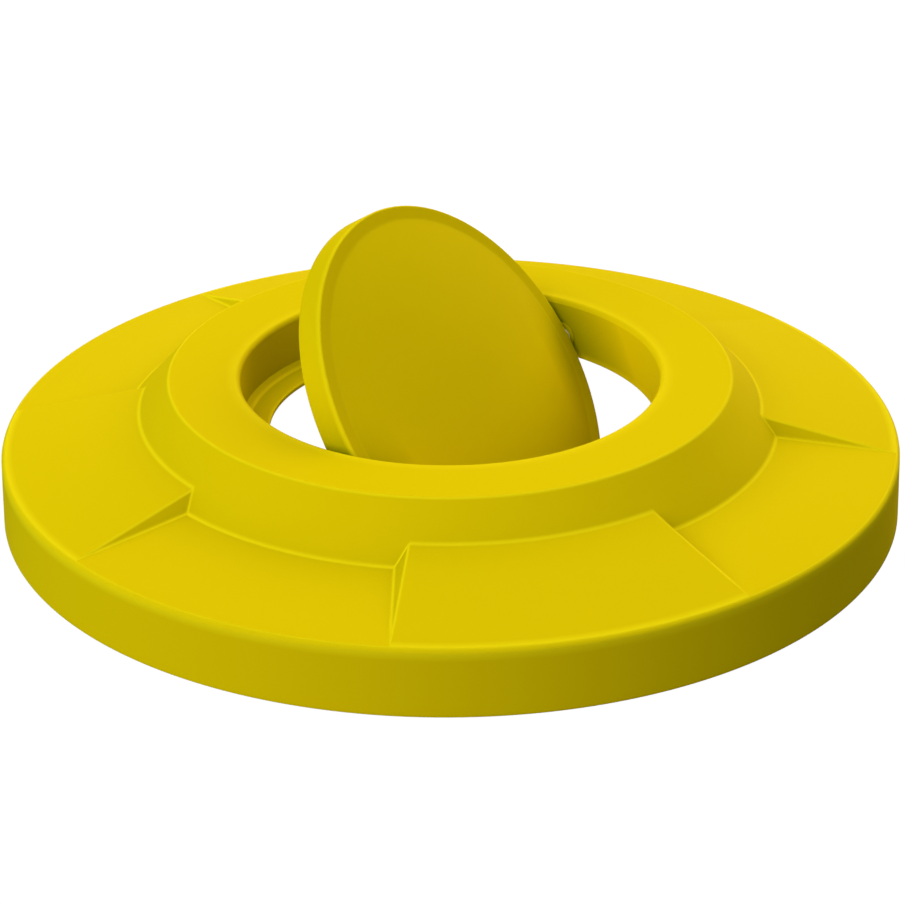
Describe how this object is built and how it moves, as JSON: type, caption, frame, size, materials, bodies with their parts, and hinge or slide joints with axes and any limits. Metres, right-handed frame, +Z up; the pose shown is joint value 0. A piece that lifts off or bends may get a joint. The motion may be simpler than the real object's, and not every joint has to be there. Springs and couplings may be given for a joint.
{
  "type": "swing disc drum lid",
  "caption": "Round slip-over drum lid with a stepped sloping roof, a raised hub and a domed disc that tips open on two bolts.",
  "frame": {"origin": "on the lid's axis, level with the bottom edge of the skirt, at the mouth of the socket that slips over the drum", "axes": "+Z up along the lid's axis, +X along the line of the two pivot bolts, -Y the front, where the open disc's domed face looks"},
  "size_m": [0.61, 0.61, 0.2337],
  "materials": {
    "moulded_yellow": "fine-grained satin moulding",
    "zinc_steel": "bright zinc plate",
    "white_nylon": "natural nylon"
  },
  "bodies": {
    "lid": {"lid_shell": "moulded_yellow", "pivot_bolt_left": "zinc_steel", "inner_washer_left": "zinc_steel", "outer_washer_left": "zinc_steel", "lock_nut_left": "zinc_steel", "pivot_bolt_right": "zinc_steel", "inner_washer_right": "zinc_steel", "outer_washer_right": "zinc_steel", "lock_nut_right": "zinc_steel"},
    "disc": {"swing_disc": "moulded_yellow", "pivot_bush_left": "white_nylon", "pivot_bush_right": "white_nylon"}
  },
  "joints": [
    {"name": "disc_swing", "type": "hinge", "parent": "lid", "child": "disc", "pos_m": [0, -0.0114, 0.066], "axis": [1, 0, 0], "range_deg": [-55, 0]}
  ]
}
